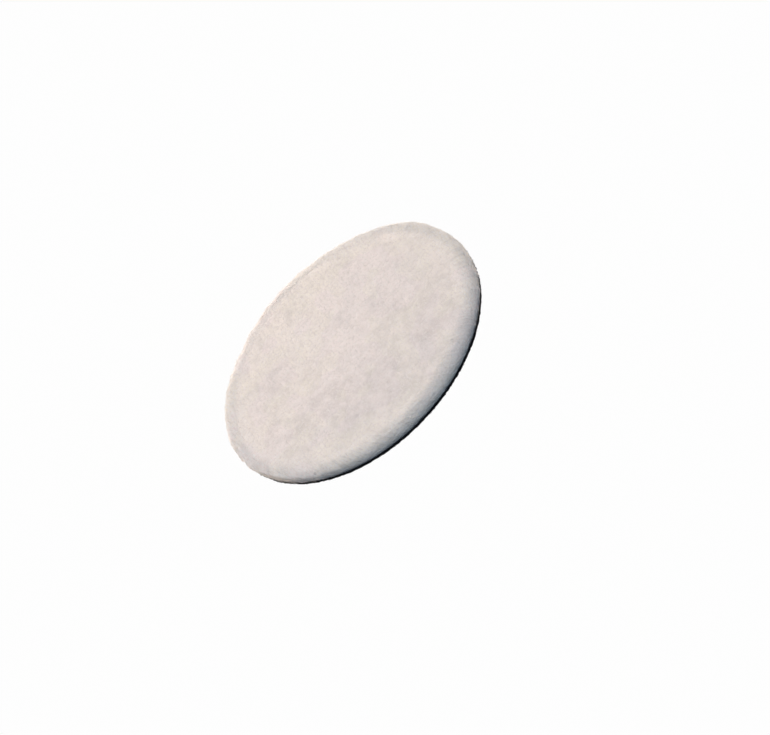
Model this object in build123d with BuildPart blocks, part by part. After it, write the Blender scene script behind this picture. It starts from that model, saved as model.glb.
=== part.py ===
from build123d import *
import os

# A round polishing pad, 150 mm across, for a hook-faced backing plate.
#
# It is a flat laminate, bonded face to face. From the machine side up it holds
# a black loop cloth that the plate's hooks grip, a glue film, a latex coating
# that locks the wool in, a knitted ground, and the wool pile that polishes.
#
# Frame: millimetres, +Z up out of the wool face. The origin is the centre of
# the loop face, which is the pad's lowest point.

# Driving dimensions
PAD_DIAMETER = 150.0
PAD_HEIGHT = 8.0

LOOP_NAP_HEIGHT = 1.3
LOOP_GROUND_THICKNESS = 0.7
GLUE_FILM_THICKNESS = 0.15
COATING_THICKNESS = 0.25
PILE_GROUND_THICKNESS = 0.6

NAP_EDGE_ROUND = 0.5
LOOP_GROUND_INSET = 0.2
BONDED_LAYER_INSET = 0.6
PILE_GROUND_INSET = 0.4

PILE_ROOT_INSET = 0.4
PILE_BULGE_HEIGHT = 1.0
SHOULDER_WIDTH = 6.5

# Worked out from the driving dimensions
pad_radius = PAD_DIAMETER / 2
loop_ground_bottom = LOOP_NAP_HEIGHT
glue_film_bottom = loop_ground_bottom + LOOP_GROUND_THICKNESS
coating_bottom = glue_film_bottom + GLUE_FILM_THICKNESS
pile_ground_bottom = coating_bottom + COATING_THICKNESS
pile_bottom = pile_ground_bottom + PILE_GROUND_THICKNESS
pile_widest = pile_bottom + PILE_BULGE_HEIGHT
shoulder_height = PAD_HEIGHT - pile_widest
root_radius = pad_radius - PILE_ROOT_INSET
face_radius = pad_radius - SHOULDER_WIDTH

os.makedirs("parts", exist_ok=True)

# Loop nap: the standing nylon loops, as the closed volume that they fill.
# Its lower edge is rounded, where the outermost loops splay.
with BuildPart() as loop_nap:
    with BuildSketch(Plane.XY):
        Circle(pad_radius)
    extrude(amount=LOOP_NAP_HEIGHT)
    fillet(loop_nap.edges().group_by(Axis.Z)[0], NAP_EDGE_ROUND)
loop_nap.part.label = "loop_nap"
export_step(loop_nap.part, "parts/loop_nap.step")

# Loop ground: the knitted cloth that carries the loops
with BuildPart() as loop_ground_knit:
    with BuildSketch(Plane.XY.offset(loop_ground_bottom)):
        Circle(pad_radius - LOOP_GROUND_INSET)
    extrude(amount=LOOP_GROUND_THICKNESS)
loop_ground_knit.part.label = "loop_ground_knit"
export_step(loop_ground_knit.part, "parts/loop_ground_knit.step")

# Glue film: the hot-melt layer that bonds the two cloths
with BuildPart() as laminating_film:
    with BuildSketch(Plane.XY.offset(glue_film_bottom)):
        Circle(pad_radius - BONDED_LAYER_INSET)
    extrude(amount=GLUE_FILM_THICKNESS)
laminating_film.part.label = "laminating_film"
export_step(laminating_film.part, "parts/laminating_film.step")

# Latex coating: it locks the roots of the wool into their ground
with BuildPart() as root_coating:
    with BuildSketch(Plane.XY.offset(coating_bottom)):
        Circle(pad_radius - BONDED_LAYER_INSET)
    extrude(amount=COATING_THICKNESS)
root_coating.part.label = "root_coating"
export_step(root_coating.part, "parts/root_coating.step")

# Pile ground: the knitted cloth that the wool is knitted into
with BuildPart() as pile_ground_knit:
    with BuildSketch(Plane.XY.offset(pile_ground_bottom)):
        Circle(pad_radius - PILE_GROUND_INSET)
    extrude(amount=PILE_GROUND_THICKNESS)
pile_ground_knit.part.label = "pile_ground_knit"
export_step(pile_ground_knit.part, "parts/pile_ground_knit.step")

# Wool pile: the sheared wool, as the closed volume that it fills.
# It swells out past its roots, then rounds over a wide shoulder to a flat face.
with BuildPart() as wool_pile:
    with BuildSketch(Plane.XZ):
        with BuildLine():
            Line((0, pile_bottom), (root_radius, pile_bottom))
            EllipticalCenterArc(
                (root_radius, pile_widest),
                PILE_ROOT_INSET,
                PILE_BULGE_HEIGHT,
                start_angle=-90,
                arc_size=90,
            )
            EllipticalCenterArc(
                (face_radius, pile_widest),
                SHOULDER_WIDTH,
                shoulder_height,
                start_angle=0,
                arc_size=90,
            )
            Line((face_radius, PAD_HEIGHT), (0, PAD_HEIGHT))
            Line((0, PAD_HEIGHT), (0, pile_bottom))
        make_face()
    revolve(axis=Axis.Z)
wool_pile.part.label = "wool_pile"
export_step(wool_pile.part, "parts/wool_pile.step")
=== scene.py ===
import math

import bpy
import numpy as np
from mathutils import Matrix, Vector


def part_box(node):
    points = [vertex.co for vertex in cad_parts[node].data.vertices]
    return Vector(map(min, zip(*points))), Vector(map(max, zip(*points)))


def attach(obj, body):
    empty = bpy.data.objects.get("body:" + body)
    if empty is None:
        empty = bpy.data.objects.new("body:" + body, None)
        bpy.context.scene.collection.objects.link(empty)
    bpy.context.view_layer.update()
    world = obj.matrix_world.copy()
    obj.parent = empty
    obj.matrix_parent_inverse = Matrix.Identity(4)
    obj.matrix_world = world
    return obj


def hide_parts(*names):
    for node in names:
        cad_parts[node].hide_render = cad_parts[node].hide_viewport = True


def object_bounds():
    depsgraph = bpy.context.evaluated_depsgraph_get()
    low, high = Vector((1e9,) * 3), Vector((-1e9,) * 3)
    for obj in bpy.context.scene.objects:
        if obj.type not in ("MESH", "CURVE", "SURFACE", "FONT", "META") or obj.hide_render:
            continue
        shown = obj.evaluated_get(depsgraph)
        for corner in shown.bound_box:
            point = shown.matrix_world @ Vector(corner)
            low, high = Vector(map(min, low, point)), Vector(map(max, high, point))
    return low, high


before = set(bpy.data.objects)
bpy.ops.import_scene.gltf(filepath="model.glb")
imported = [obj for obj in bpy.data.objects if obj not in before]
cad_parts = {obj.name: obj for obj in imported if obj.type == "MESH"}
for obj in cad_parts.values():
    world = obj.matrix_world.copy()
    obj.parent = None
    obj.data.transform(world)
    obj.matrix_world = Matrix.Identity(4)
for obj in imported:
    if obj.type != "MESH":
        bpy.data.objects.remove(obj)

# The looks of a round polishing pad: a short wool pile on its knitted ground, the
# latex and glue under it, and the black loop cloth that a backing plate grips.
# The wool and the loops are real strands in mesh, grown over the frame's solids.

MM = 0.001
TAU = 2 * math.pi
UP = np.array([0.0, 0.0, 1.0])

# The pile's section: its shoulder's power, where it is round and where it is squarer, and the two
# sides of the pad where it is squarer. It is widest a little above its root, and its root is inset.
ROUND_SHOULDER, SQUARE_SHOULDER = 2.0, 7.0
SQUARER_SIDES = np.array([[-0.88, -0.47], [0.95, 0.3]])
BULGE_HEIGHT = 1.0 * MM
ROOT_INSET = 0.6 * MM

# The wool: the gap between strands, how far a strand's shading leans to the pile's own facing, the
# height of the rim's foot, where strands splay most, and the loose fibres and the cut yarn ends
STRAND_GAP = 0.36 * MM
SOFTNESS = 0.7
FOOT_HEIGHT = 2.5 * MM
FACE_WISPS, RIM_WISPS = 2500, 900
WISP_THICKNESS = 0.08 * MM
FRAYED_ENDS = 10000

# The rim's combed locks: their width, the side of the pad where they show most, the heading that
# they are combed to, and how far they can lean
LOCK_WIDTH = 1.15 * MM
COMBED_SIDE = np.array([0.4, -0.92])
COMB_HEADING, COMB_LEAN = math.radians(-30), math.radians(52)

# The cloths: how far inside its solid a layer is cut, and the loops' gap, fringe and place
CUT_IN = 0.08 * MM
LOOP_GAP = 1.25 * MM
FRINGE_LOOPS = 3400
OFF_CENTRE = np.array([0.0, -0.12 * MM])

# The phase that Blender's wave texture turns through in each unit of its scaled space
WAVE_PHASE = 20

cad_low, cad_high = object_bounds()


# ---------------------------------------------------------------- frame sizes

def disc_of(node):
    """A node's radius, bottom and top, from its box."""
    low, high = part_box(node)
    return (high.x - low.x) / 2, low.z, high.z


PILE_RADIUS, PILE_BOTTOM, PILE_TOP = disc_of("wool_pile")
NAP_RADIUS, NAP_BOTTOM, NAP_TOP = disc_of("loop_nap")


def face_radius():
    """The radius of the pile's flat face, where its shoulder starts."""
    co = np.array([v.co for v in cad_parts["wool_pile"].data.vertices])
    top = co[co[:, 2] > PILE_TOP - 0.01 * MM]
    return float(np.hypot(top[:, 0], top[:, 1]).max())


FACE_RADIUS = face_radius()
SHOULDER_WIDTH = PILE_RADIUS - FACE_RADIUS
PILE_WIDEST = PILE_BOTTOM + BULGE_HEIGHT
ROOT_RADIUS = PILE_RADIUS - ROOT_INSET
SHOULDER_HEIGHT = PILE_TOP - PILE_WIDEST


# --------------------------------------------------------------- seeded noise

def random_source(name):
    """A generator of its own for each use, so that a change in one leaves the rest."""
    return np.random.default_rng(sum(ord(c) * (i + 1) for i, c in enumerate(name)))


def smooth_noise(xy, cell, name):
    """Value noise from -1 to 1 over the plane, with features about one cell wide."""
    side = 256
    lattice = random_source(name).uniform(-1, 1, (side, side))
    p = xy / cell
    i = np.floor(p).astype(int)
    f = p - i
    f = f * f * (3 - 2 * f)
    (x, y), (next_x, next_y) = (i % side).T, ((i + 1) % side).T
    a, b = lattice[x, y], lattice[next_x, y]
    c, d = lattice[x, next_y], lattice[next_x, next_y]
    low = a + (b - a) * f[:, 0]
    high = c + (d - c) * f[:, 0]
    return low + (high - low) * f[:, 1]


def cloud(xy, cells, name):
    """Several sizes of smooth noise, added up."""
    parts = [smooth_noise(xy, cell, f"{name}_{k}") for k, cell in enumerate(cells)]
    return sum(parts) / math.sqrt(len(cells))


def tuft_of(xy, cell, name):
    """The tuft that each point is in: its centre, its own number from 0 to 1, and how far out
    in it the point is, from 0 at its centre to 1 at its edge."""
    source = random_source(name)
    side = 512
    jitter = source.uniform(0.1, 0.9, (side, side, 2))
    number = source.uniform(0, 1, (side, side))
    home = np.floor(xy / cell).astype(int)
    best = np.full(len(xy), np.inf)
    second = np.full(len(xy), np.inf)
    centre = np.zeros_like(xy)
    own = np.zeros(len(xy))
    for dx in (-1, 0, 1):
        for dy in (-1, 0, 1):
            square = home + (dx, dy)
            x, y = (square % side).T
            place = (square + jitter[x, y]) * cell
            away = np.hypot(*(xy - place).T)
            nearer = away < best
            second = np.where(nearer, best, np.minimum(second, away))
            best = np.where(nearer, away, best)
            centre[nearer] = place[nearer]
            own = np.where(nearer, number[x, y], own)
    return centre, own, best / (best + second) * 2


def unit(v):
    """Each row, scaled to length 1."""
    return v / np.maximum(np.linalg.norm(v, axis=1, keepdims=True), 1e-12)


# ------------------------------------------------------------ meshes in numpy

def mesh_object(name, points, faces, materials, shade=None, normals=None):
    """An object from arrays: faces is (count, corners), shade is each face's material number,
    and normals are the points' own, where its faces alone would shade it too hard."""
    mesh = bpy.data.meshes.new(name)
    corners = faces.shape[1]
    mesh.vertices.add(len(points))
    mesh.vertices.foreach_set("co", np.ascontiguousarray(points, np.float32).ravel())
    mesh.loops.add(faces.size)
    mesh.loops.foreach_set("vertex_index", np.ascontiguousarray(faces, np.int32).ravel())
    mesh.polygons.add(len(faces))
    mesh.polygons.foreach_set("loop_start", np.arange(0, faces.size, corners, dtype=np.int32))
    for material in materials:
        mesh.materials.append(material)
    if shade is not None:
        mesh.polygons.foreach_set("material_index", np.ascontiguousarray(shade, np.int32))
    mesh.polygons.foreach_set("use_smooth", np.full(len(faces), True))
    mesh.update(calc_edges=True)
    mesh.validate()
    if normals is not None:
        mesh.normals_split_custom_set_from_vertices(normals)
    piece = bpy.data.objects.new(name, mesh)
    bpy.context.scene.collection.objects.link(piece)
    return piece


def strand_arrays(lines, radii, shade, facing, source):
    """Closed three-sided strands. lines is (strands, points, 3), and the last point is the tip.
    radii is (strands, points - 1), and facing is the way that the pile faces at each strand.
    Returns points, triangles, each triangle's shade, and normals that lean towards facing,
    because light goes through fine wool and softens the shading of each fibre."""
    count, stops = lines.shape[:2]
    rings = stops - 1
    along = unit(lines[:, -1] - lines[:, 0])
    other = unit(source.normal(size=(count, 3)))
    side = unit(np.cross(along, other))
    front = np.cross(along, side)
    angle = np.arange(3) * TAU / 3
    ring = (
        np.cos(angle)[None, :, None] * side[:, None, :]
        + np.sin(angle)[None, :, None] * front[:, None, :]
    )
    body = lines[:, :rings, None, :] + radii[:, :, None, None] * ring[:, None, :, :]
    each = rings * 3 + 1
    points = np.concatenate([body.reshape(count, rings * 3, 3), lines[:, -1:, :]], axis=1)
    outward = np.concatenate([np.tile(ring, (1, rings, 1)), along[:, None, :]], axis=1)
    normals = SOFTNESS * facing[:, None, :] + (1 - SOFTNESS) * outward
    pattern = [(0, 2, 1)]
    for r in range(rings - 1):
        for k in range(3):
            a, b = r * 3 + k, r * 3 + (k + 1) % 3
            pattern += [(a, b, b + 3), (a, b + 3, a + 3)]
    last = (rings - 1) * 3
    pattern += [(last + k, last + (k + 1) % 3, each - 1) for k in range(3)]
    pattern = np.array(pattern)
    faces = pattern[None] + (np.arange(count) * each)[:, None, None]
    shades = np.repeat(shade, len(pattern))
    return points.reshape(-1, 3), faces.reshape(-1, 3), shades, unit(normals.reshape(-1, 3))


def add_strands(name, lines, radii, shade, facing, materials, sectors):
    """Strands as one object for each sector of the pad, so that no mesh is too heavy."""
    source = random_source(name)
    turn = np.arctan2(lines[:, 0, 1], lines[:, 0, 0]) / TAU % 1
    made = []
    for k in range(sectors):
        own = (turn * sectors).astype(int) == k
        points, faces, shades, normals = strand_arrays(
            lines[own], radii[own], shade[own], facing[own], source
        )
        made.append(mesh_object(f"{name}_{k + 1}", points, faces, materials, shades, normals))
    return made


# ------------------------------------------------------------------ materials

def principled(name, color, roughness):
    """A material and its Principled node, with the values that are the same all over."""
    material = bpy.data.materials.new(name)
    material.use_nodes = True
    shader = material.node_tree.nodes["Principled BSDF"]
    shader.inputs["Base Color"].default_value = (*color, 1)
    shader.inputs["Roughness"].default_value = roughness
    material.diffuse_color = (*color, 1)
    return material, shader


def node(tree, kind, **inputs):
    """A node with its input values set by name."""
    made = tree.nodes.new(kind)
    for key, value in inputs.items():
        made.inputs[key.replace("_", " ")].default_value = value
    return made


def place_of(tree):
    """The point on the surface, in metres from the origin."""
    return tree.nodes.new("ShaderNodeTexCoord").outputs["Object"]


def two_tone(tree, factor, dark, light, low=0.35, high=0.65):
    """A colour that goes from dark to light as the factor goes from low to high."""
    ramp = tree.nodes.new("ShaderNodeValToRGB")
    ramp.color_ramp.elements[0].position = low
    ramp.color_ramp.elements[0].color = (*dark, 1)
    ramp.color_ramp.elements[1].position = high
    ramp.color_ramp.elements[1].color = (*light, 1)
    tree.links.new(factor, ramp.inputs["Fac"])
    return ramp.outputs["Color"]


def bump(tree, shader, height, distance):
    """Fine relief, distance deep, from a height of 0 to 1."""
    made = node(tree, "ShaderNodeBump", Strength=1.0, Distance=distance)
    tree.links.new(height, made.inputs["Height"])
    tree.links.new(made.outputs["Normal"], shader.inputs["Normal"])


def wool_fibre(name, color):
    """One shade of wool strand: matt, with light passing through the fine fibre."""
    material, shader = principled(name, color, 0.85)
    shader.inputs["Specular IOR Level"].default_value = 0.2
    shader.inputs["Sheen Weight"].default_value = 0.15
    shader.inputs["Sheen Roughness"].default_value = 0.5
    shader.inputs["Subsurface Weight"].default_value = 0.75
    shader.inputs["Subsurface Radius"].default_value = (1.0, 1.0, 1.0)
    shader.inputs["Subsurface Scale"].default_value = 0.4 * MM
    return material


def wool_felt():
    """The matted wool between and under the strands."""
    material, shader = principled("wool_felt", (0.74, 0.68, 0.65), 0.95)
    tree = material.node_tree
    clumps = node(tree, "ShaderNodeTexNoise", Scale=600.0, Detail=4.0, Roughness=0.6)
    tree.links.new(place_of(tree), clumps.inputs["Vector"])
    color = two_tone(tree, clumps.outputs["Fac"], (0.74, 0.68, 0.64), (0.90, 0.85, 0.82))
    tree.links.new(color, shader.inputs["Base Color"])
    bump(tree, shader, clumps.outputs["Fac"], 0.3 * MM)
    shader.inputs["Specular IOR Level"].default_value = 0.2
    return material


def knit(name, dark, light, roughness, wale, course):
    """A fine weft knit: columns of stitches, wale apart, crossed by rows, course apart."""
    material, shader = principled(name, light, roughness)
    tree = material.node_tree
    point = place_of(tree)
    wales = node(tree, "ShaderNodeTexWave", Scale=TAU / (WAVE_PHASE * wale), Distortion=0.6, Detail=1.0)
    wales.bands_direction = "X"
    courses = node(tree, "ShaderNodeTexWave", Scale=TAU / (WAVE_PHASE * course), Distortion=1.5, Detail=1.0)
    courses.bands_direction = "Y"
    both = tree.nodes.new("ShaderNodeMath")
    both.operation = "MULTIPLY"
    for wave, socket in ((wales, 0), (courses, 1)):
        tree.links.new(point, wave.inputs["Vector"])
        tree.links.new(wave.outputs["Fac"], both.inputs[socket])
    color = two_tone(tree, both.outputs["Value"], dark, light, 0.1, 0.7)
    tree.links.new(color, shader.inputs["Base Color"])
    bump(tree, shader, both.outputs["Value"], 0.15 * MM)
    return material


def layer_film(name, dark, light, roughness, grain):
    """A thin brushed or melted layer, a little uneven in colour and in its surface."""
    material, shader = principled(name, light, roughness)
    tree = material.node_tree
    blotch = node(tree, "ShaderNodeTexNoise", Scale=1 / grain, Detail=3.0)
    tree.links.new(place_of(tree), blotch.inputs["Vector"])
    tree.links.new(two_tone(tree, blotch.outputs["Fac"], dark, light), shader.inputs["Base Color"])
    bump(tree, shader, blotch.outputs["Fac"], 0.05 * MM)
    return material


def loop_nylon(name, color, roughness):
    """One shade of nylon loop: near black, with a faint shine."""
    material, shader = principled(name, color, roughness)
    shader.inputs["Specular IOR Level"].default_value = 0.25
    return material


WOOL_HUES = {
    "cream": (0.880, 0.830, 0.740),
    "oat": (0.880, 0.818, 0.750),
    "pink": (0.880, 0.800, 0.772),
    "white": (0.890, 0.875, 0.850),
}
WOOL_LEVELS = {"shaded": 0.83, "dull": 0.91, "plain": 1.0, "pale": 1.06}
WOOL_SHADES = [
    wool_fibre(f"wool_{hue}_{level}", [share * value for value in color])
    for hue, color in WOOL_HUES.items()
    for level, share in WOOL_LEVELS.items()
]
WHITE = list(WOOL_HUES).index("white")
LOOP_SHADES = [
    loop_nylon("loop_black", (0.004, 0.004, 0.006), 0.55),
    loop_nylon("loop_blue_black", (0.005, 0.006, 0.010), 0.5),
    loop_nylon("loop_grey_black", (0.009, 0.009, 0.013), 0.6),
]


# ----------------------------------------------------------- the pile's shape

def profile(power):
    """The pile's outside from its axis to its root. The higher the power, the squarer its shoulder.
    Its four rows are the distance along it, the radius, the height and the slope of its normal."""
    arc = np.linspace(math.pi / 2, 0, 200)
    across, rise = np.cos(arc) ** (2 / power), np.sin(arc) ** (2 / power)
    bend = 2 - 2 / power
    slope = np.arctan2(np.sin(arc) ** bend / SHOULDER_HEIGHT, np.cos(arc) ** bend / SHOULDER_WIDTH)
    root_slope = -0.2
    r = np.concatenate([[0], FACE_RADIUS + SHOULDER_WIDTH * across, [ROOT_RADIUS]])
    z = np.concatenate([[PILE_TOP], PILE_WIDEST + SHOULDER_HEIGHT * rise, [PILE_BOTTOM]])
    slope = np.concatenate([[math.pi / 2], slope, [root_slope]])
    length = np.concatenate([[0], np.cumsum(np.hypot(np.diff(r), np.diff(z)))])
    return np.array([length, r, z, slope])


ROUND, SQUARE = profile(ROUND_SHOULDER), profile(SQUARE_SHOULDER)
PROFILE_LENGTH = ROUND[0, -1]
# The squarer outside is a little longer, so its distances are scaled to the rounder one's
past_face = SQUARE[0, 1:] - FACE_RADIUS
SQUARE[0, 1:] = FACE_RADIUS + past_face * (PROFILE_LENGTH - FACE_RADIUS) / past_face[-1]


def envelope(s, square=0.0):
    """Radius, height and slope of the outward normal of the pile, s along it from its axis.
    square is 0 for the rounder shoulder and 1 for the squarer one."""
    return tuple(
        (1 - square) * np.interp(s, ROUND[0], ROUND[k]) + square * np.interp(s, SQUARE[0], SQUARE[k])
        for k in (1, 2, 3)
    )


def ease(x, low, high):
    """0 below low, 1 above high, and smooth between them."""
    t = np.clip((x - low) / (high - low), 0, 1)
    return t * t * (3 - 2 * t)


def revolve_disc(name, r, z, materials, segments, waviness=0.0, cell=2 * MM):
    """A closed disc from a profile of radii and heights, its first and last points on the axis.
    Its edge may be wavy, with waves about one cell long."""
    turn = np.arange(segments) / segments * TAU
    ring = np.stack([np.cos(turn), np.sin(turn)], axis=1)
    middle = len(r) - 2
    xy = r[1:-1, None, None] * ring[None]
    if waviness:
        edge = smooth_noise(ring * PILE_RADIUS, cell, name + "_edge")
        share = (r[1:-1] / r.max()) ** 8
        xy = xy * (1 + waviness / r.max() * share[:, None, None] * edge[None, :, None])
    heights = np.broadcast_to(z[1:-1, None, None], (middle, segments, 1))
    points = np.concatenate([xy, heights], axis=2).reshape(-1, 3)
    k = np.arange(segments)
    after = (k + 1) % segments
    corners = []
    for row in range(middle - 1):
        a = row * segments
        b = a + segments
        corners += [(a + k, b + k, a + after), (a + after, b + k, b + after)]
    first, last = len(points), len(points) + 1
    below = (middle - 1) * segments
    corners += [(np.full(segments, first), k, after), (np.full(segments, last), below + after, below + k)]
    faces = np.concatenate([np.stack(three, axis=1) for three in corners])
    points = np.concatenate([points, [[0, 0, z[0]], [0, 0, z[-1]]]])
    return mesh_object(name, points, faces, materials)


def add_wool_core():
    """The matted body of the pile, under the strands' tips."""
    rim = np.linspace(FACE_RADIUS, PROFILE_LENGTH, 16)
    s = np.concatenate([np.linspace(0, FACE_RADIUS, 60), rim[1:]])
    r, z, slope = envelope(s)
    depth = (0.7 + 0.2 * ease(s, FACE_RADIUS - 2 * MM, FACE_RADIUS + 3 * MM)) * MM
    r = np.maximum(r - depth * np.cos(slope), 0)
    z = np.maximum(z - depth * np.sin(slope), PILE_BOTTOM)
    r[0] = 0
    return revolve_disc("wool_felt_body", np.append(r, 0), np.append(z, PILE_BOTTOM), [wool_felt()], 240)


core = add_wool_core()
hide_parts("wool_pile")
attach(core, "root")


# -------------------------------------------------------------- the wool pile

def shade_of(q, own, white_rim_and_painted_light, lock_streak_and_painted_light, source):
    """A wool shade for each strand: cream and pink patches, darker and paler clouds, and a whiter,
    paler rim, partly whiter wool and partly painted light: painted cool light on the shoulder, painted
    shade in the grooves between its locks, and a painted lift where its strands shade one another.
    own is its tuft's number, the rim's weight is 1 at the rim, and a higher lock value is paler there."""
    hue_cells = (9 * MM, 18 * MM, 36 * MM)
    hue = 1.8 * cloud(q, hue_cells, "hue") + source.normal(0, 0.05, len(q))
    hue = np.clip(np.floor(1.5 + 1.5 * hue), 0, WHITE - 1).astype(int)
    hue = np.where(source.uniform(size=len(q)) < 0.4 * white_rim_and_painted_light, WHITE, hue)
    value_cells = (2.5 * MM, 5 * MM, 10 * MM, 20 * MM, 40 * MM)
    value = 1.95 * cloud(q, value_cells, "value") + 0.3 * (own - 0.5)
    # At the rim, paler and whiter strands are painted light, and the lock value carries painted shade as
    # well as each lock's own tone
    value += source.normal(0, 0.15, len(q)) + white_rim_and_painted_light * 1.8 * lock_streak_and_painted_light
    level_steps = (-1.4, -0.5, 0.5)
    return hue * len(WOOL_LEVELS) + np.searchsorted(level_steps, value)


def grid_points(radius, gap, source):
    """Points a gap apart on a jittered triangular grid that fills a disc."""
    columns = int(radius / gap) + 2
    rows = int(columns * 1.2)
    i, j = np.meshgrid(np.arange(-columns, columns + 1), np.arange(-rows, rows + 1))
    x = (i + 0.5 * (j % 2)) * gap
    y = j * gap * math.sqrt(0.75)
    xy = np.stack([x.ravel(), y.ravel()], axis=1)
    xy += source.uniform(-0.42, 0.42, xy.shape) * gap
    return xy[np.hypot(*xy.T) < radius]


def lean_of(q):
    """How far to one side of straight down the rim's wool is combed, all towards one heading."""
    return COMB_LEAN * np.sin(COMB_HEADING - np.arctan2(q[:, 1], q[:, 0]))


def locks(q):
    """The locks that the rim's wool is combed into, side by side round the edge.
    Returns how far across its lock each place is, -1 to 1, and its lock's own number, -1 to 1."""
    down = np.hypot(*q.T) - FACE_RADIUS
    along = np.arctan2(q[:, 1], q[:, 0]) * PILE_RADIUS - np.tan(lean_of(q)) * down
    turn = along / LOCK_WIDTH + 0.6 * smooth_noise(q, 4 * MM, "wander")
    own = random_source("locks").uniform(-1, 1, 1024)
    return 2 * (turn % 1) - 1, own[np.floor(turn).astype(int) % len(own)]


def combing(q):
    """How strongly the rim's wool is combed at each place, up to 1 on one side of the pad."""
    return 0.3 + 0.7 * np.clip(unit(q) @ COMBED_SIDE, 0, 1)


def squareness(q):
    """How square the pile's shoulder is at each place, from 0 to 1: more so at two of its sides."""
    return np.max(np.clip(unit(q) @ SQUARER_SIDES.T, 0, 1), axis=1) ** 3


def on_pile(q, height=0.0):
    """Places on the pile's outside, height above it. q is a place on it, unrolled flat.
    Returns the places, the outward normals, the ways out from the axis and along the edge,
    and how far over the shoulder each is, from 0 to 1."""
    s = np.hypot(*q.T)
    around = unit(q)
    square = squareness(q)
    r, z, slope = envelope(s, square)
    out = np.column_stack([around, np.zeros(len(q))])
    aside = np.column_stack([-around[:, 1], around[:, 0], np.zeros(len(q))])
    normal = out * np.cos(slope)[:, None] + UP * np.sin(slope)[:, None]
    over = ease(s - 3 * MM * square, FACE_RADIUS - 2 * MM, FACE_RADIUS + 5 * MM)
    edge = around * PILE_RADIUS
    across, lock = locks(q)
    # What makes the rim uneven, in millimetres: long bulges, short lumps, and rounded, stepped locks
    bulge = 0.45 * smooth_noise(edge, 14 * MM, "bulge")
    lump = 0.4 * smooth_noise(edge, 4.5 * MM, "lump")
    comb = (0.15 * lock - 0.2 * across**2) * combing(q)
    raised = over * (bulge + lump + comb) * MM + height
    places = out * r[:, None] + UP * z[:, None] + normal * raised[:, None]
    return places, normal, out, aside, over


def nap_of(q):
    """The way the pile faces, brushed a little this way and that, and rounded over each lock of
    the rim. Light soaks down through the tips, so a steep part faces up more than its surface."""
    cells = (4 * MM, 9 * MM, 18 * MM, 36 * MM)
    level = np.zeros(len(q))
    brushed = np.column_stack([cloud(q, cells, "brushed_x"), cloud(q, cells, "brushed_y"), level])
    normal, out, aside, over = on_pile(q)[1:]
    square = squareness(q)
    foot = ease(np.hypot(*q.T), PROFILE_LENGTH - FOOT_HEIGHT, PROFILE_LENGTH)
    turned = np.arccos(np.clip(normal[:, 2], 0, 1)) / (math.pi / 2)
    turned = (turned ** (1 + 4 * square) * math.pi / 2)[:, None]
    faces = out * np.sin(turned) + UP * np.cos(turned)
    across, lock = locks(q)
    rounded = aside * (over * combing(q) * (0.5 * across + 0.3 * lock))[:, None]
    raised = (0.4 - 0.15 * square + (0.35 + 0.5 * square) * foot)[:, None] * UP
    return unit(faces + raised + 0.14 * brushed + rounded)


def along_strand(roots, tips, bulge, stops):
    """Points from each root to its tip, bowed by bulge in the middle."""
    return np.stack(
        [roots + (tips - roots) * t + bulge * math.sin(math.pi * t) for t in stops], axis=1
    )


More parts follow.
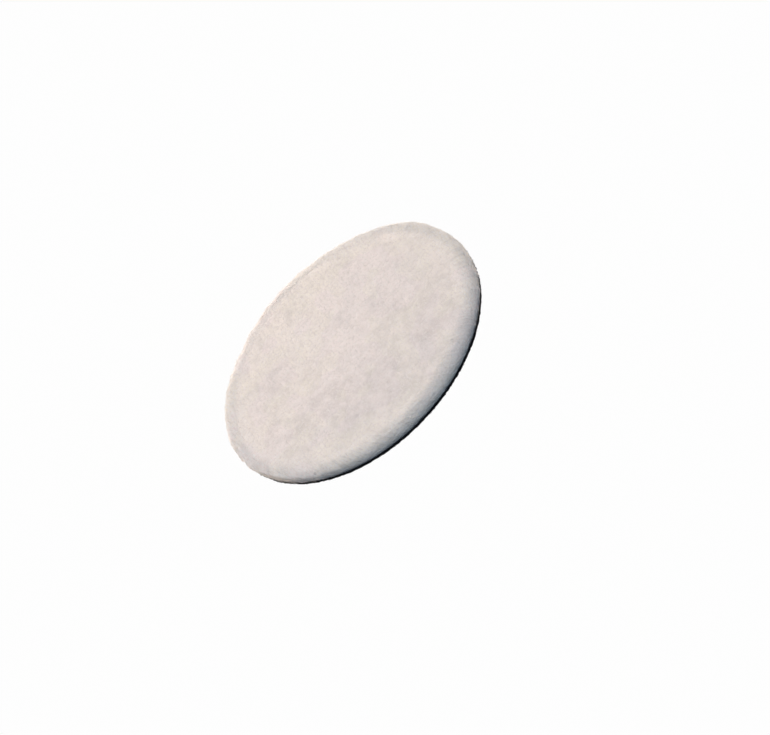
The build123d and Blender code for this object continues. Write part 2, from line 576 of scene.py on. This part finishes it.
def wool_strands():
    """The pile's strands, with their tips spread evenly over its outside, face and wall alike.
    Returns the face's and the rim's."""
    source = random_source("wool")
    q = grid_points(PROFILE_LENGTH - 0.1 * MM, STRAND_GAP, source)
    count = len(q)
    s = np.hypot(*q.T)

    # Heights of the tips: tufts are highest in the middle, and the rim is rougher than the face
    centre, own, outer = tuft_of(q, 2.1 * MM, "tufts")
    rough = 0.045 + 0.07 * ease(s, FACE_RADIUS, FACE_RADIUS + 3 * MM)
    rise = 0.11 * (1 - outer) + 0.07 * smooth_noise(q, 3 * MM, "rise") + rough * source.normal(0, 1, count)
    tips, normal, out, aside, over = on_pile(q, rise * MM)

    # Tips draw together in their tufts, drift in swirls, and on the rim gather into their locks
    pull = (centre - q) * 0.17
    swirl = TAU * smooth_noise(q, 6 * MM, "swirl")
    drift = np.column_stack([np.cos(swirl), np.sin(swirl)]) * 0.12 * MM
    shift = pull + drift + source.normal(0, 0.09 * MM, (count, 2))
    down_wall = np.cross(aside, normal)
    tips += down_wall * np.sum(shift * out[:, :2], axis=1)[:, None]
    across, lock = locks(q)
    gather = 0.35 * across * LOCK_WIDTH / 2 * over
    tips += aside * (np.sum(shift * aside[:, :2], axis=1) - gather)[:, None]

    # Strands tilt outward over the shoulder, and most of all at its foot
    foot = ease(s, PROFILE_LENGTH - FOOT_HEIGHT, PROFILE_LENGTH)
    tilt = math.radians(26) * over + math.radians(36) * foot
    sway = 0.10 * smooth_noise(q, 4 * MM, "sway") + source.normal(0, 0.05, count)
    grow = unit(out * np.sin(tilt)[:, None] + UP * np.cos(tilt)[:, None] + aside * sway[:, None])
    length = (2.0 + 0.6 * over) * MM * source.uniform(0.9, 1.1, count)
    room = (tips[:, 2] - PILE_BOTTOM) / grow[:, 2]
    roots = tips - grow * np.minimum(length, np.maximum(room, 0.3 * MM))[:, None]
    bulge = (out * over[:, None] * 0.12 + aside * sway[:, None] * 0.3) * length[:, None]
    wide = source.uniform(0.11, 0.16, count) * MM

    # Painted light on the rim: whiter, paler strands stand in for the cool light on its shoulder, darker
    # lock edges are painted shade in the grooves between locks, the rim and its foot are lifted paler as
    # painted light against the shade there, and each lock is also lighter or darker at random
    white_rim_and_painted_light = ease(s, FACE_RADIUS - 8 * MM, FACE_RADIUS + 3 * MM)
    lock_streak_and_painted_light = 0.65 + (0.9 * lock - 0.15 - 0.8 * across**2) * combing(q)
    shade = shade_of(q, own, white_rim_and_painted_light, lock_streak_and_painted_light + 0.5 * foot, source)
    facing = nap_of(q)

    rim = over > 0
    flat = ~rim
    face_lines = along_strand(roots[flat], tips[flat], bulge[flat], (0, 0.6, 1))
    rim_lines = along_strand(roots[rim], tips[rim], bulge[rim], (0, 0.4, 0.75, 1))
    return (
        (face_lines, wide[flat][:, None] * (1.0, 0.8), shade[flat], facing[flat]),
        (rim_lines, wide[rim][:, None] * (1.0, 1.0, 0.85), shade[rim], facing[rim]),
    )


def wisps(name, count, inner, outer, lift):
    """Loose fibres of any shade that lie over the pile between two radii of its unrolled outside,
    any way on the face and combed down the wall at the rim, and end up to lift above it."""
    source = random_source(name)
    s = np.sqrt(source.uniform(inner**2, outer**2, count))
    turn = source.uniform(0, TAU, count)
    start = np.column_stack([np.cos(turn), np.sin(turn)]) * s[:, None]
    over = ease(s, FACE_RADIUS - 6 * MM, FACE_RADIUS + 3 * MM)
    loose = source.uniform(-math.pi, math.pi, count) * (1 - over)
    way = turn + loose + over * (lean_of(start) + source.normal(0, 0.35, count))
    curl = source.normal(0, 0.5, count)
    length = source.uniform(1.6, 4.0, count) * MM * (1 - 0.35 * over)
    end_height = source.uniform(0.0, 1.0, count) ** 2 * lift
    stops = []
    for t in (0, 0.3, 0.6, 0.85, 1):
        heading = way + curl * t
        q = start + np.column_stack([np.cos(heading), np.sin(heading)]) * (length * t)[:, None]
        reach = np.hypot(*q.T)
        q = q * (np.minimum(reach, PROFILE_LENGTH - 0.4 * MM) / reach)[:, None]
        height = -0.2 * MM * (1 - t) ** 2 + 0.1 * MM * math.sin(math.pi * t) + end_height * t * t
        stops.append(on_pile(q, height)[0])
    radii = source.uniform(0.75, 1.25, count)[:, None] * WISP_THICKNESS / 2 * (0.8, 1.0, 0.9, 0.6)
    shade = source.choice(len(WOOL_SHADES), count)
    return np.stack(stops, axis=1), radii, shade, nap_of(start)


face_wool, rim_wool = wool_strands()
wool = add_strands("wool_face", *face_wool, WOOL_SHADES, 9)
wool += add_strands("wool_rim", *rim_wool, WOOL_SHADES, 4)
face_wisps = wisps("face_wisps", FACE_WISPS, 0.0, FACE_RADIUS, 0.25 * MM)
wool += add_strands("wool_face_wisps", *face_wisps, WOOL_SHADES, 2)
rim_wisps = wisps("rim_wisps", RIM_WISPS, FACE_RADIUS - 1 * MM, PROFILE_LENGTH - 1.5 * MM, 0.9 * MM)
wool += add_strands("wool_rim_wisps", *rim_wisps, WOOL_SHADES, 1)
for piece in wool:
    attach(piece, "root")


# ---------------------------------------------------------- the bonded layers

def add_layer(name, node_name, material, waviness, cell):
    """A thin flat layer with a slightly uneven cut edge, in place of its plain CAD disc."""
    radius, bottom, top = disc_of(node_name)
    radius -= CUT_IN
    soft = (top - bottom) / 2
    arc = np.linspace(math.pi / 2, -math.pi / 2, 5)
    r = np.concatenate([[0, radius / 2], radius - soft / 2 * (1 - np.cos(arc)), [radius / 2, 0]])
    edge = (top + bottom) / 2 + soft * np.sin(arc)
    z = np.concatenate([[top, top], edge, [bottom, bottom]])
    piece = revolve_disc(name, r, z, [material], 720, waviness, cell)
    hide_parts(node_name)
    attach(piece, "root")
    return piece


ground = add_layer(
    "pile_ground", "pile_ground_knit",
    knit("pile_ground_knit", (0.74, 0.73, 0.72), (0.92, 0.91, 0.90), 0.9, 0.9 * MM, 0.7 * MM),
    0.2 * MM, 1.5 * MM,
)
add_layer(
    "latex_coating", "root_coating",
    layer_film("milky_latex", (0.70, 0.69, 0.64), (0.86, 0.85, 0.80), 0.45, 2 * MM),
    0.25 * MM, 2.5 * MM,
)
add_layer(
    "glue_film", "laminating_film",
    layer_film("glue_film", (0.05, 0.05, 0.055), (0.14, 0.14, 0.15), 0.4, 1.5 * MM),
    0.3 * MM, 3 * MM,
)
loop_ground = add_layer(
    "loop_ground", "loop_ground_knit",
    knit("loop_ground_knit", (0.006, 0.006, 0.009), (0.020, 0.020, 0.028), 0.6, 0.8 * MM, 0.6 * MM),
    0.2 * MM, 1.2 * MM,
)


def add_frayed_edge():
    """Short ends of yarn and wool that hide the clean edge of the knit under the pile."""
    source = random_source("fray")
    radius, bottom, top = disc_of("pile_ground_knit")
    count = FRAYED_ENDS
    turn = source.uniform(0, TAU, count)
    out = np.column_stack([np.cos(turn), np.sin(turn), np.zeros(count)])
    aside = np.column_stack([-np.sin(turn), np.cos(turn), np.zeros(count)])
    height = bottom + (top - bottom) * source.uniform(0.1, 1.3, count)
    roots = out * (radius - 0.5 * MM) + UP * height[:, None]
    drop = source.uniform(0.0, 1.4, count)[:, None]
    grow = unit(out - UP * drop + aside * source.normal(0, 0.5, (count, 1)))
    length = source.uniform(0.6, 1.25, count) * MM
    tips = roots + grow * length[:, None]
    tips[:, 2] = np.maximum(tips[:, 2], bottom - source.uniform(0, 0.3, count) ** 2 * MM)
    lines = along_strand(roots, tips, UP * 0.1 * MM, (0, 0.6, 1))
    radii = source.uniform(0.035, 0.07, count)[:, None] * MM * (1.0, 0.9)
    shade = WHITE * len(WOOL_LEVELS) + source.choice(len(WOOL_LEVELS), count)
    facing = unit(out + 0.2 * UP + source.normal(0, 0.35, (count, 3)))
    return add_strands("ground_fray", lines, radii, shade, facing, WOOL_SHADES, 1)


for piece in add_frayed_edge():
    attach(piece, "root")


# -------------------------------------------------------------- the loop nap

def loop_arrays(base, across, height, lean, filament, shade):
    """Closed tubes bent into standing loops that hang below their cloth. Each has the middle of its
    base, the way across it and half its width as one arrow, a height, a lean and a filament radius.
    Returns points, triangles and each triangle's shade."""
    count = len(base)
    stops, sides = 8, 3
    t = np.linspace(0, math.pi, stops)
    wide = -np.cos(t) * (0.55 + 0.55 * np.sin(t))
    path = (
        base[:, None, :]
        + across[:, None, :] * wide[None, :, None]
        + lean[:, None, :] * np.sin(t)[None, :, None]
        - UP[None, None, :] * (height[:, None] * np.sin(t)[None, :] ** 0.8)[:, :, None]
    )
    ahead = np.gradient(path, axis=1)
    flat = unit(np.cross(across, UP))[:, None, :]
    one = np.broadcast_to(flat, path.shape)
    two = np.cross(ahead.reshape(-1, 3), one.reshape(-1, 3))
    two = unit(two).reshape(path.shape)
    angle = np.arange(sides) * TAU / sides
    right, front = np.cos(angle)[None, None, :, None], np.sin(angle)[None, None, :, None]
    ring = right * one[:, :, None] + front * two[:, :, None]
    points = path[:, :, None, :] + filament[:, None, None, None] * ring
    pattern = [(0, 2, 1)]
    for r in range(stops - 1):
        for k in range(sides):
            a, b = r * sides + k, r * sides + (k + 1) % sides
            pattern += [(a, b, b + sides), (a, b + sides, a + sides)]
    last = (stops - 1) * sides
    pattern += [(last, last + 1, last + 2)]
    pattern = np.array(pattern)
    faces = pattern[None] + (np.arange(count) * stops * sides)[:, None, None]
    return points.reshape(-1, 3), faces.reshape(-1, 3), np.repeat(shade, len(pattern))


def add_loops(sectors=4):
    """The nap: loops all over the underside, and a fringe of them at its ragged cut edge, whose
    feet are tucked to different heights into the edge of the cloth."""
    source = random_source("loops")
    xy = grid_points(NAP_RADIUS - 0.3 * MM, LOOP_GAP, source)
    turn = source.uniform(0, TAU, FRINGE_LOOPS)
    fringe_r = NAP_RADIUS - source.uniform(0.0, 0.9, len(turn)) * MM
    fringe = np.column_stack([fringe_r * np.cos(turn), fringe_r * np.sin(turn)])
    xy = np.concatenate([xy, fringe])
    count = len(xy)
    out = np.concatenate([unit(xy), np.zeros((count, 1))], axis=1)
    edge_width = 1.2 * MM
    edge = np.clip((np.hypot(*xy.T) - (NAP_RADIUS - edge_width)) / edge_width, 0, 1)
    facing = source.uniform(0, TAU, count)
    width = source.uniform(0.45, 0.95, count) * MM
    across = np.column_stack([np.cos(facing), np.sin(facing), np.zeros(count)]) * width[:, None]
    reach = 1.1 * np.abs(np.sum(across * out, axis=1)) + 0.1 * MM
    ragged = 0.4 * MM * smooth_noise(unit(xy) * NAP_RADIUS, 1.2 * MM, "ragged")
    inset = source.normal(-0.5 * MM, 0.3 * MM, count)
    inside = np.minimum(np.hypot(*xy.T), NAP_RADIUS - reach + ragged + inset)
    tuck = 0.1 * MM + 0.7 * MM * source.uniform(size=count) * (edge > 0)
    base = out * inside[:, None] + UP * (NAP_TOP + tuck)[:, None]
    base[:, :2] += OFF_CENTRE
    height = (NAP_TOP - NAP_BOTTOM) * source.uniform(0.75, 1.0, count) * (1 - 0.25 * edge)
    lean = source.normal(0, 0.35 * MM, (count, 3)) * (1 - edge)[:, None] * (1, 1, 0)
    filament = source.uniform(0.055, 0.085, count) * MM
    shade = source.choice(len(LOOP_SHADES), count, p=(0.45, 0.35, 0.2))
    where = np.arctan2(xy[:, 1], xy[:, 0]) / TAU % 1
    made = []
    for k in range(sectors):
        own = (where * sectors).astype(int) == k
        arrays = loop_arrays(base[own], across[own], height[own], lean[own], filament[own], shade[own])
        made.append(mesh_object(f"loop_nap_{k + 1}", arrays[0], arrays[1], LOOP_SHADES, arrays[2]))
    return made


def add_nap_body():
    """The dense roots of the loops, that no light passes through."""
    soft = 0.35 * MM
    arc = np.linspace(math.pi / 2, -math.pi / 2, 7)
    radius = NAP_RADIUS - 0.45 * MM
    low = NAP_BOTTOM + 0.35 * MM
    r = np.concatenate([[0, radius / 2], radius - soft * (1 - np.cos(arc)), [radius / 2, 0]])
    z = (NAP_TOP + low) / 2 + (NAP_TOP - low) / 2 * np.sin(arc)
    z = np.concatenate([[NAP_TOP, NAP_TOP], z, [low, low]])
    black = layer_film("loop_roots", (0.003, 0.003, 0.005), (0.008, 0.008, 0.012), 0.8, 0.6 * MM)
    return revolve_disc("nap_body", r, z, [black], 900, 0.3 * MM, 1.1 * MM)


loops = [add_nap_body(), *add_loops()]
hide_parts("loop_nap")
for piece in loops:
    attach(piece, "root")


# ------------------------------------------------------- floor, light, camera

def plain_glow(name, color):
    """A colour that looks the same all over, whatever the light."""
    material = bpy.data.materials.new(name)
    material.use_nodes = True
    tree = material.node_tree
    tree.nodes.clear()
    glow = node(tree, "ShaderNodeEmission", Color=(*color, 1), Strength=1.0)
    out = tree.nodes.new("ShaderNodeOutputMaterial")
    tree.links.new(glow.outputs["Emission"], out.inputs["Surface"])
    return material


def add_stage():
    """A pale floor and backdrop that the camera sees, and that light nothing."""
    white = plain_glow("backdrop_white", (0.988, 0.988, 0.988))
    reach = 8
    bpy.ops.mesh.primitive_uv_sphere_add(segments=48, ring_count=24, radius=reach)
    dome = bpy.context.object
    dome.name = "backdrop"
    under = (0, 0, cad_low.z)
    bpy.ops.mesh.primitive_circle_add(vertices=64, radius=reach - 0.1, fill_type="NGON", location=under)
    floor = bpy.context.object
    floor.name = "floor"
    for piece in (dome, floor):
        piece.data.materials.append(white)
        piece.visible_diffuse = False
        piece.visible_glossy = False
        piece.visible_transmission = False
        piece.visible_shadow = False


def add_light(name, place, size, power, color):
    """A round area light that points at the pad: its place and size in metres, its power in watts."""
    lamp = bpy.data.lights.new(name, "AREA")
    lamp.shape = "DISK"
    lamp.size = size
    lamp.energy = power
    lamp.color = color
    piece = bpy.data.objects.new(name, lamp)
    piece.location = place
    piece.rotation_euler = (-Vector(place)).to_track_quat("-Z", "Y").to_euler()
    bpy.context.scene.collection.objects.link(piece)


def add_world(color, strength):
    """Soft light from all the sky above the pad, and none from below it."""
    world = bpy.data.worlds.new("studio")
    world.use_nodes = True
    tree = world.node_tree
    back = tree.nodes["Background"]
    back.inputs["Strength"].default_value = strength
    way = tree.nodes.new("ShaderNodeTexCoord")
    parts = tree.nodes.new("ShaderNodeSeparateXYZ")
    tree.links.new(way.outputs["Generated"], parts.inputs["Vector"])
    sky = two_tone(tree, parts.outputs["Z"], (0, 0, 0), color, 0.0, 0.15)
    tree.links.new(sky, back.inputs["Color"])
    bpy.context.scene.world = world


def add_camera():
    """The pad seen from 38 degrees above its plane, with the camera rolled 45.9 degrees."""
    elevation, roll = math.radians(38.0), math.radians(45.9)
    lens, sensor, view_width = 100.0, 36.0, 377.5 * MM
    centre_right, centre_up = -15.3 * MM, 6.5 * MM
    look = Vector((0, math.cos(elevation), -math.sin(elevation)))
    level, rise = Vector((1, 0, 0)), Vector((0, math.sin(elevation), math.cos(elevation)))
    right = level * math.cos(roll) - rise * math.sin(roll)
    up = level * math.sin(roll) + rise * math.cos(roll)
    place = -look * (view_width * lens / sensor) - right * centre_right - up * centre_up
    data = bpy.data.cameras.new("camera")
    data.lens, data.sensor_width = lens, sensor
    data.clip_start, data.clip_end = 0.01, 50
    camera = bpy.data.objects.new("camera", data)
    turned = Matrix((right, up, -look)).transposed().to_4x4()
    camera.matrix_world = Matrix.Translation(place) @ turned
    bpy.context.scene.collection.objects.link(camera)
    bpy.context.scene.camera = camera


add_stage()
add_light("top", (-0.12, 0.05, 0.66), 0.8, 2.42, (0.985, 0.955, 0.955))
add_light("left", (-0.74, 0.60, 0.3), 0.6, 10.6, (1.0, 0.825, 0.70))
add_light("right", (0.72, 0.58, 0.3), 0.6, 8.9, (1.0, 0.825, 0.70))
add_light("front", (0.08, -0.58, 0.56), 0.6, 1.95, (0.68, 0.83, 1.0))
add_world((0.80, 0.88, 1.0), 0.03)
add_camera()
bpy.context.scene.view_settings.view_transform = "Standard"
